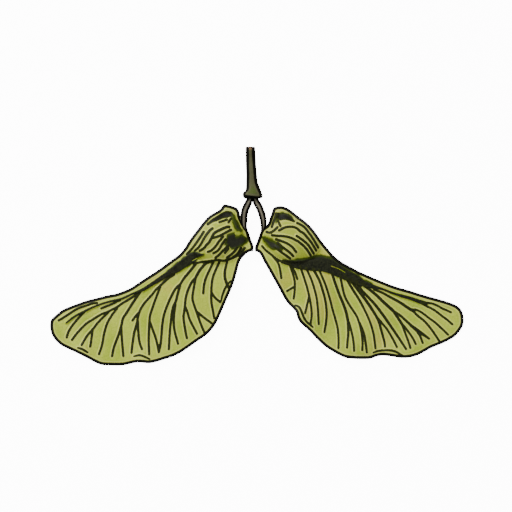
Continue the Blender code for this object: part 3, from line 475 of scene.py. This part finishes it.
def outline_of(wing):
    """The wing's free edge and its inner one, set out from the middle of the drawn line."""
    edge, _ = smooth_line(place(wing["edge"]), EDGE_STEP)
    inner, _ = smooth_line(place(wing["inner"]), EDGE_STEP)
    ring = np.vstack([edge, inner[1:-1]])
    run = np.roll(ring, -1, axis=0) - np.roll(ring, 1, axis=0)
    outwards = np.column_stack([run[:, 1], -run[:, 0]]) / np.linalg.norm(run, axis=1)[:, None]
    if (ring[:, 0] * run[:, 1] - ring[:, 1] * run[:, 0]).sum() < 0:
        outwards = -outwards
    from_meeting = np.linalg.norm(ring - edge[-1], axis=1)
    ring = ring + outwards * OUTSET * ramp(from_meeting / OUTSET_FADE)[:, None]
    return ring[:len(edge)], np.vstack([ring[len(edge) - 1:], ring[:1]])


def at_shares(line, shares):
    """Points at the given shares of a line's length."""
    along = arc_length(line)
    return np.column_stack([np.interp(shares * along[-1], along, line[:, axis]) for axis in (0, 1)])


def plan_of_grid(u, v, wing):
    """Spreads the grid's (u, v) between the leading edge, the trailing edge, the stalk and the tip."""
    edge, inner = outline_of(wing)
    first, last = (np.linalg.norm(edge - corner, axis=1).argmin()
                   for corner in place(wing["tip_corners"]))
    leading, tip, trailing = edge[:first + 1], edge[first:last + 1], edge[last:][::-1]
    stem = inner[::-1]
    v = EVEN_ROWS * v + (1 - EVEN_ROWS) * (0.5 - 0.5 * np.cos(math.pi * v))
    over, under = at_shares(leading, u), at_shares(trailing, u)
    start, end = at_shares(stem, v), at_shares(tip, v)
    u, v = u[:, None], v[:, None]
    corners = ((1 - u) * (1 - v) * leading[0] + u * (1 - v) * leading[-1]
               + (1 - u) * v * trailing[0] + u * v * trailing[-1])
    return (1 - v) * over + v * under + (1 - u) * start + u * end - corners


def line_field(points, lines):
    """Signed distance to the edge of the nearest of some lines, in millimetres, negative inside."""
    field = np.full(len(points), FAR)
    for line, widths in lines:
        away, width = distance_to_line(points, line, widths)
        field = np.minimum(field, away - width)
    return field


def drawn_line(start, end, points):
    """A line and its half widths in millimetres, from what the lists give."""
    line, share = smooth_line(place(points), LINE_STEP)
    return line, (start + (end - start) * share) * PIXEL


def drawn_band(stations):
    """The same for a line whose half width changes from station to station."""
    line, share = smooth_line(place(stations), LINE_STEP)
    widths = np.interp(share * (len(stations) - 1), range(len(stations)), [s[2] for s in stations])
    return line, widths * PIXEL


def middle_height(points, wing):
    """Height of the middle plane: level through the nutlet, down to the surface at the tip, waved."""
    centre, tip = place([wing["nut"]["centre"], wing["tip"]])
    length = np.linalg.norm(tip - centre)
    along = (tip - centre) / length
    side = np.array([-along[1], along[0]])
    side = side if side[1] < 0 else -side
    s, t = (points - centre) @ along, (points - centre) @ side
    down = ramp((s - SLOPE_START) / (length - SLOPE_START - SLOPE_END))
    height = NUT_MID_HEIGHT + (BLADE_HALF - NUT_MID_HEIGHT) * down
    outwards = np.clip(t / EDGE_REACH, 0, 1)
    height -= MARGIN_DROOP * outwards ** 2 * (1 - down)
    height += WAVE * outwards * np.sin(2 * math.pi * s / WAVE_LENGTH + wing["phase"])
    for curl in place(wing["curls"]):
        height += CURL_RAISE * np.exp(-((points - curl) ** 2).sum(axis=1) / CURL_RADIUS ** 2)
    return np.maximum(height, BLADE_HALF)


def nutlet_body(points, wing, rim):
    """0 on the blade to 1 in the middle of the nutlet, and how deep its hollows are."""
    nut = wing["nut"]
    centre, towards = place([nut["centre"], nut["towards"]])
    along = (towards - centre) / np.linalg.norm(towards - centre)
    across = np.array([-along[1], along[0]])
    offset = points - centre
    long_half, short_half = (half * PIXEL for half in nut["half"])
    inwards = 1 - (offset @ along / long_half) ** 2 - (offset @ across / short_half) ** 2
    roll = 1 - (1 - np.clip(rim / NUT_ROLL, 0, 1)) ** 2
    body = np.clip(inwards, 0, 1) ** NUT_FULLNESS * roll
    hollow = np.zeros(len(points))
    for spot, size in wing["hollows"]:
        away = (points - place([spot])[0]) / (np.array(size) * PIXEL)
        hollow += HOLLOW_DEPTH * np.exp(-(away ** 2).sum(axis=1)) * np.clip(body * HOLLOW_FADE, 0, 1)
    return body, hollow


def raised_by(field, height):
    """A rounded ridge over a line: full height inside it, down to nothing a little outside."""
    return height * ramp(1 - (field + SHOULDER) / (BLEND + SHOULDER))


def distance_to_rim(plan, wing):
    """How far each point is from the wing's outline."""
    edge, inner = outline_of(wing)
    ring = np.vstack([edge, inner[1:]])[::RIM_THINNING]
    ring = np.vstack([ring, ring[:1]])
    return distance_to_line(plan, ring, np.zeros(len(ring)))[0]


def drawn_fields(plan, wing):
    """How far each point lies outside the drawn lines of each kind, in millimetres, negative inside."""
    fields = {kind: line_field(plan, [drawn_line(*line) for line in wing[kind]])
              for kind in ("veins", "ribs", "ridges", "gaps")}
    fields["ribs"] -= RIB_SPREAD
    fields["costa"] = line_field(plan, [drawn_band(wing["costa"])])
    # The painted shade: dark bands and soft washes
    for kind in ("shade_bands", "shade_washes"):
        fields[kind] = line_field(plan, [drawn_band(stations) for stations in wing[kind]])
    for kind in ("costa", "shade_washes"):
        fields[kind] = np.maximum(fields[kind], -fields["gaps"])
    return fields


def both_sides(plan, wing, fields, rim, body, hollow):
    """The upper and the lower points of the sheet, in metres."""
    raised = np.maximum.reduce([raised_by(fields["veins"], VEIN_RAISE),
                                raised_by(fields["ribs"], RIB_RAISE),
                                raised_by(fields["ridges"], RIB_RAISE),
                                raised_by(fields["costa"], COSTA_RAISE)])
    between = ramp(np.minimum(fields["veins"], fields["costa"]) / QUILT_REACH)
    quilt = QUILT * between * (1 - ramp(body * NUT_SKIN)) * ramp(rim / QUILT_MARGIN)
    soft_rim = ramp(rim / RIM_ROUND)
    middle = middle_height(plan, wing)
    up = MEMBRANE_UP + (BLADE_HALF - MEMBRANE_UP) * ramp(body * NUT_WALL)
    up = up * (RIM_UPPER + (1 - RIM_UPPER) * soft_rim) + NUT_BULGE * body - hollow
    up = up + raised * soft_rim + quilt
    down = BLADE_HALF * (RIM_LOWER + (1 - RIM_LOWER) * soft_rim) + NUT_BULGE * body - hollow
    down = down + LOWER_RELIEF * raised * soft_rim
    upper = np.column_stack([plan, middle + up]) * MM
    lower = np.column_stack([plan, np.maximum(middle - down, 0)]) * MM
    return upper, lower


def winged_nutlet(wing, material):
    """One samara: a fine sheet between its edges, given its underside, nutlet, veins and ribs."""
    bm = bmesh.new()
    mark = bm.verts.layers.int.new("grid_point")
    bmesh.ops.create_grid(bm, x_segments=COLUMNS, y_segments=ROWS, size=0.5)
    for number, vert in enumerate(bm.verts):
        vert[mark] = number
    uv = np.array([vert.co[:2] for vert in bm.verts]) + 0.5
    plan = plan_of_grid(uv[:, 0], uv[:, 1], wing)
    rim = distance_to_rim(plan, wing)
    fields = drawn_fields(plan, wing)
    body, hollow = nutlet_body(plan, wing, rim)
    upper, lower = both_sides(plan, wing, fields, rim, body, hollow)
    bmesh.ops.extrude_face_region(bm, geom=bm.faces[:], use_keep_orig=True)
    bm.verts.ensure_lookup_table()
    for number, vert in enumerate(bm.verts):
        spot = vert[mark]
        vert.co = upper[spot] if number < len(plan) else lower[spot]
    bmesh.ops.recalc_face_normals(bm, faces=bm.faces)
    source = np.array([vert[mark] for vert in bm.verts])
    # The dark bands of painted shade are coloured like the veins
    stroke = np.minimum.reduce([fields["veins"], fields["ribs"], fields["shade_bands"]])
    # The soft washes of painted shade go to the material as an attribute
    looks = {"stroke": stroke, "costa": fields["costa"], "margin": rim, "shade_wash": fields["shade_washes"],
             "nutlet": ramp(body * NUT_SKIN)}
    piece = finished(wing["piece"], bm, material)
    for name, values in looks.items():
        attribute = piece.data.attributes.new(name, "FLOAT", "POINT")
        attribute.data.foreach_set("value", values[source].astype(np.float32))
    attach(piece, "root")
    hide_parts(wing["node"])


def finished(name, bm, material):
    """A smooth-shaded object at the origin, made from a bmesh, which is used up."""
    mesh = bpy.data.meshes.new(name)
    bm.to_mesh(mesh)
    bm.free()
    mesh.shade_smooth()
    mesh.materials.append(material)
    piece = bpy.data.objects.new(name, mesh)
    bpy.context.scene.collection.objects.link(piece)
    return piece


def stem(name, stations, rise, flatten, material):
    """A closed stem of oval rings through its stations, lifted by rise(share of its length)."""
    line, share = smooth_line(place(stations), STEM_STEP)
    steps, counted = share * (len(stations) - 1), range(len(stations))
    widths, shade_widths = (np.interp(steps, counted, [s[k] * PIXEL for s in stations]) for k in (2, 3))
    last = len(line) - 1
    centres = [Vector((x, y, NUT_MID_HEIGHT + rise(k / last))) for k, (x, y) in enumerate(line)]
    bm = bmesh.new()
    shade_flank = bm.verts.layers.float.new("shade_flank")
    way = bm.verts.layers.float.new("way")
    flare = bm.verts.layers.float.new("flare")
    level = bm.verts.layers.float.new("level")
    rings = []
    for k, centre in enumerate(centres):
        along = (centres[min(k + 1, last)] - centres[max(k - 1, 0)]).normalized()
        side = along.cross(Vector((0, 0, 1))).normalized()
        up = side.cross(along)
        half = widths[k]
        turn = Matrix((side * half, up * half * flatten, along)).transposed().to_4x4()
        made = bmesh.ops.create_circle(bm, cap_ends=k in (0, last), radius=1, segments=STALK_SIDES,
                                       matrix=Matrix.Translation(centre) @ turn)
        for vert in made["verts"]:
            aside = (vert.co - centre).dot(side)
            # Painted shade: how far a point is inside the dark flank, which comes in further on the
            # right
            inwards = half - abs(aside) + SHADE_LEAN * aside / half
            vert[shade_flank] = min(inwards, (last - k) * STEM_STEP) - shade_widths[k]
            vert[way] = k * STEM_STEP
            vert[flare] = half
            vert[level] = abs((vert.co - centre).dot(up)) / (half * flatten)
        rings.append({edge for vert in made["verts"] for edge in vert.link_edges
                      if all(end in made["verts"] for end in edge.verts)})
    for before, after in zip(rings, rings[1:]):
        bmesh.ops.bridge_loops(bm, edges=list(before | after))
    bmesh.ops.recalc_face_normals(bm, faces=bm.faces)
    bmesh.ops.scale(bm, vec=(MM, MM, MM), verts=bm.verts)
    piece = finished(name, bm, material)
    piece.data.set_sharp_from_angle(angle=math.radians(CREASE_ANGLE))
    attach(piece, "root")
    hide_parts("stalk")


def linear(colour):
    """A colour as seen on screen, as the linear colour that a shader takes."""
    parts = [c / 255 for c in colour]
    return tuple(c / 12.92 if c <= 0.04045 else ((c + 0.055) / 1.055) ** 2.4 for c in parts) + (1,)


class Nodes:
    """Short ways to add and link shader nodes in one tree."""

    def __init__(self, tree):
        self.tree = tree

    def add(self, kind, **settings):
        node = self.tree.nodes.new(kind)
        for name, value in settings.items():
            setattr(node, name, value)
        return node

    def put(self, value, socket):
        if isinstance(value, bpy.types.NodeSocket):
            self.tree.links.new(value, socket)
        else:
            socket.default_value = value

    def math(self, operation, first, second=0.0):
        node = self.add("ShaderNodeMath", operation=operation)
        self.put(first, node.inputs[0])
        self.put(second, node.inputs[1])
        return node.outputs[0]

    def attribute(self, name):
        return self.add("ShaderNodeAttribute", attribute_name=name).outputs["Fac"]

    def band(self, value, low, high, at_low=0.0, at_high=1.0):
        node = self.add("ShaderNodeMapRange", interpolation_type="SMOOTHSTEP")
        for socket, number in zip(node.inputs, (value, low, high, at_low, at_high)):
            self.put(number, socket)
        return node.outputs[0]

    def noise(self, coordinates, scale, detail=3.0, roughness=0.5):
        node = self.add("ShaderNodeTexNoise")
        self.put(coordinates, node.inputs["Vector"])
        self.put(scale, node.inputs["Scale"])
        self.put(detail, node.inputs["Detail"])
        self.put(roughness, node.inputs["Roughness"])
        return node.outputs[0]

    def centred(self, value, spread):
        """A value round one half as one round zero, made that much wider."""
        return self.math("MULTIPLY", self.math("SUBTRACT", value, 0.5), spread)

    def mix(self, share, under, over):
        node = self.add("ShaderNodeMix", data_type="RGBA")
        self.put(share, node.inputs[0])
        self.put(under, node.inputs[6])
        self.put(over, node.inputs[7])
        return node.outputs[2]


def mottle_group():
    """Uneven growth, as a group: a slow blotch, a fine grain, and small pale specks."""
    group = bpy.data.node_groups.new("mottle", "ShaderNodeTree")
    group.interface.new_socket("Scale", in_out="INPUT", socket_type="NodeSocketFloat")
    for name in ("Blotch", "Grain", "Specks"):
        group.interface.new_socket(name, in_out="OUTPUT", socket_type="NodeSocketFloat")
    n = Nodes(group)
    enter, leave = n.add("NodeGroupInput"), n.add("NodeGroupOutput")
    where = n.add("ShaderNodeTexCoord").outputs["Object"]
    scale = enter.outputs["Scale"]
    blotch = n.noise(where, n.math("MULTIPLY", scale, BLOTCHES))
    grain = n.noise(where, n.math("MULTIPLY", scale, GRAINS), 4.0, 0.6)
    cells = n.add("ShaderNodeTexVoronoi")
    n.put(where, cells.inputs["Vector"])
    n.put(n.math("MULTIPLY", scale, SPECKS), cells.inputs["Scale"])
    n.put(n.band(blotch, 0.38, 0.66), leave.inputs["Blotch"])
    n.put(grain, leave.inputs["Grain"])
    n.put(n.band(cells.outputs["Distance"], 0.12, 0.3, 1.0, 0.0), leave.inputs["Specks"])
    return group


def new_material(name, specular):
    """A material, a way to add nodes to it, and its shader."""
    material = bpy.data.materials.new(name)
    material.use_nodes = True
    shader = material.node_tree.nodes["Principled BSDF"]
    shader.inputs["Specular IOR Level"].default_value = specular
    return material, Nodes(material.node_tree), shader


def roughen(n, shader, relief, strength, depth):
    """Lets a relief bend the light on a surface, as if it were that deep."""
    bump = n.add("ShaderNodeBump")
    n.put(strength, bump.inputs["Strength"])
    n.put(depth, bump.inputs["Distance"])
    n.put(relief, bump.inputs["Height"])
    n.put(bump.outputs[0], shader.inputs["Normal"])


def wing_material(mottle):
    """Yellow-green membrane with dark veins and margins, paler beside them in a painted highlight,
    painted shade in soft dark washes, net-veined between.
    """
    material, n, shader = new_material("green_wing", 0.1)
    where = n.add("ShaderNodeTexCoord").outputs["Object"]
    spread = n.add("ShaderNodeGroup", node_tree=mottle)
    spread.inputs["Scale"].default_value = 1.0
    blotch, grain, specks = (spread.outputs[name] for name in ("Blotch", "Grain", "Specks"))
    wobble = n.centred(grain, 0.07)
    stroke = n.math("ADD", n.attribute("stroke"), wobble)
    costa = n.math("ADD", n.attribute("costa"), wobble)
    margin = n.math("ADD", n.attribute("margin"), wobble)
    net = n.add("ShaderNodeTexVoronoi", feature="DISTANCE_TO_EDGE")
    n.put(where, net.inputs["Vector"])
    n.put(VEINLETS, net.inputs["Scale"])
    veinlet = n.band(net.outputs["Distance"], 0.02, 0.09, 1.0, 0.0)
    membrane = n.mix(blotch, linear(MEMBRANE), linear(MEMBRANE_BLOTCH))
    tan = n.band(n.noise(where, TAN_PATCHES, 2.0), 0.56, 0.68)
    membrane = n.mix(n.math("MULTIPLY", tan, 0.45), membrane, linear(MEMBRANE_TAN))
    membrane = n.mix(n.math("MULTIPLY", veinlet, 0.16), membrane, linear(VEINLET))
    membrane = n.mix(n.math("MULTIPLY", specks, 0.12), membrane, linear(SPECK))
    membrane = n.mix(n.math("MULTIPLY", n.attribute("nutlet"), 0.6), membrane, linear(NUTLET_SKIN))
    # Painted highlight: a paler strip beside each vein, rib and dark band, and inside the dark margin
    near = n.math("MINIMUM", stroke, n.math("SUBTRACT", margin, MARGIN_DARK))
    beside = n.band(near, 0.14, 0.42, 0.55, 0.0)
    membrane = n.mix(beside, membrane, linear(VEIN_SIDE_HIGHLIGHT))
    # Painted shade: soft dark washes, darkest in their middle, with an uneven edge
    shade_wash = n.math("ADD", n.attribute("shade_wash"), n.centred(n.noise(where, SHADE_WASH_PATCHES), 0.8))
    shade_washed = n.mix(n.band(shade_wash, -0.12, 0.3, 1.0, 0.0), membrane, linear(SHADE_WASH_EDGE))
    shade_washed = n.mix(n.band(shade_wash, -0.6, -0.25, 1.0, 0.0), shade_washed, linear(SHADE_WASH_HEART))
    costa_colour = n.mix(n.band(grain, 0.35, 0.65), linear(COSTA_DARK), linear(COSTA_LIGHT))
    ribbed = n.mix(n.band(costa, -0.02, 0.06, 1.0, 0.0), shade_washed, costa_colour)
    vein_colour = n.mix(n.band(grain, 0.35, 0.65), linear(VEIN_DARK), linear(VEIN_LIGHT))
    vein_colour = n.mix(n.band(stroke, -0.34, -0.14, 0.9, 0.0), vein_colour, linear(VEIN_HEART))
    veined = n.mix(n.band(stroke, 0.01, 0.08, 1.0, 0.0), ribbed, vein_colour)
    edged = n.mix(n.band(margin, MARGIN_DARK, MARGIN_DARK + 0.1, 1.0, 0.0), veined, linear(MARGIN))
    n.put(edged, shader.inputs["Base Color"])
    n.put(n.band(grain, 0.3, 0.7, 0.42, 0.66), shader.inputs["Roughness"])
    relief = n.math("ADD", n.math("MULTIPLY", grain, 0.35), n.math("MULTIPLY", veinlet, 0.5))
    roughen(n, shader, relief, 0.35, WING_BUMP * MM)
    return material


def stalk_material(name, core, swollen, side, mottle):
    """Fibrous bark, greener where it swells and, in painted shade, nearly black down both flanks.

    A stripe along the very side keeps the bark's colour, so that a stem isn't all black from there.
    """
    material, n, shader = new_material(name, 0.04)
    spread = n.add("ShaderNodeGroup", node_tree=mottle)
    spread.inputs["Scale"].default_value = 1.3
    blotch, grain = spread.outputs["Blotch"], spread.outputs["Grain"]
    shade_flank, way, flare = (n.attribute(word) for word in ("shade_flank", "way", "flare"))
    along = n.add("ShaderNodeCombineXYZ")
    n.put(n.math("MULTIPLY", shade_flank, 5.0), along.inputs[0])
    n.put(n.math("MULTIPLY", way, 0.35), along.inputs[1])
    fibre = n.noise(along.outputs[0], 3.0, 5.0, 0.65)
    greener = n.math("MULTIPLY", n.band(flare, 1.15, 1.5), n.band(shade_flank, 0.15, 0.6))
    middle = n.mix(greener, core, swollen)
    shaded = tuple(FIBRE_SHADE * c for c in core[:3]) + (1,)
    middle = n.mix(n.band(fibre, 0.35, 0.65, 0.0, 0.6), middle, shaded)
    middle = n.mix(n.math("MULTIPLY", blotch, 0.2), middle, side)
    inwards = n.math("ADD", shade_flank, n.centred(grain, 0.1))
    middle = n.mix(n.band(way, 0.1, CUT_BROWN, 0.7, 0.0), middle, linear(CUT_END))
    outmost = n.band(n.attribute("level"), 0.34, 0.46, 0.9, 0.0)
    # Painted shade: the side colour down both flanks, but for a stripe along the very side
    edged = n.mix(n.math("MAXIMUM", n.band(inwards, -0.08, 0.12), outmost), side, middle)
    n.put(edged, shader.inputs["Base Color"])
    n.put(n.band(fibre, 0.3, 0.7, 0.6, 0.8), shader.inputs["Roughness"])
    relief = n.math("ADD", fibre, n.math("MULTIPLY", grain, 0.4))
    roughen(n, shader, relief, 0.4, BARK_BUMP * MM)
    return material


def stalk_pieces(mottle):
    """The pedicel with its flared receptacle, and the two arms that hold the nutlets."""
    # The near-black colour of the painted shade down the stems' flanks
    dark = linear(PAINTED_FLANK_SHADE)
    bark = stalk_material("green_bark", linear(PEDICEL_BARK), linear(RECEPTACLE_GREEN), dark, mottle)
    # The arms' middle takes the grey bark lightened into a painted highlight
    arm_bark = stalk_material("arm_bark", linear(ARM_BARK_HIGHLIGHT), linear(ARM_BARK_HIGHLIGHT), dark, mottle)
    stem("pedicel", PEDICEL_PX, lambda share: STALK_RISE * (1 - share) ** 2, PEDICEL_FLATTEN, bark)
    for name, stations in (("arm_left", ARM_LEFT_PX), ("arm_right", ARM_RIGHT_PX)):
        stem(name, stations, lambda share: 0.0, ARM_FLATTEN, arm_bark)


def pale_floor():
    bm = bmesh.new()
    bmesh.ops.create_grid(bm, x_segments=1, y_segments=1, size=FLOOR_HALF)
    material, n, shader = new_material("pale_floor", 0.1)
    shader.inputs["Roughness"].default_value = 0.9
    shader.inputs["Base Color"].default_value = (0.9, 0.9, 0.9, 1)
    shader.inputs["Emission Color"].default_value = (1, 1, 1, 1)
    seen = n.add("ShaderNodeLightPath").outputs["Is Camera Ray"]
    n.put(n.math("MULTIPLY", seen, FLOOR_GLOW), shader.inputs["Emission Strength"])
    floor = finished("floor", bm, material)


def soft_light():
    """Light from all round, with a broad key from the upper left and a weaker fill."""
    world = bpy.data.worlds.new("studio")
    bpy.context.scene.world = world
    world.use_nodes = True
    back = world.node_tree.nodes["Background"]
    back.inputs["Color"].default_value = (1, 1, 1, 1)
    back.inputs["Strength"].default_value = WORLD_GLOW
    for name, spot, size, power in LIGHTS:
        light = bpy.data.lights.new(name, "AREA")
        light.size = size
        light.energy = power
        lamp = bpy.data.objects.new(name, light)
        lamp.location = spot
        lamp.rotation_euler = (-Vector(spot)).to_track_quat("-Z", "Y").to_euler()
        bpy.context.scene.collection.objects.link(lamp)


def camera():
    """Straight above, far enough off to show the pair as flat as the drawing does."""
    data = bpy.data.cameras.new("camera")
    data.lens = LENS
    data.sensor_width = SENSOR
    eye = bpy.data.objects.new("camera", data)
    frame_width = PICTURE_PX * PIXEL
    middle = place([(PICTURE_PX / 2, PICTURE_PX / 2)])[0]
    eye.location = (middle[0] * MM, middle[1] * MM, (frame_width * LENS / SENSOR + FOCUS_HEIGHT) * MM)
    bpy.context.scene.collection.objects.link(eye)
    bpy.context.scene.camera = eye


def main():
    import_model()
    mottle = mottle_group()
    skin = wing_material(mottle)
    winged_nutlet(LEFT, skin)
    winged_nutlet(RIGHT, skin)
    stalk_pieces(mottle)
    pale_floor()
    soft_light()
    camera()


main()
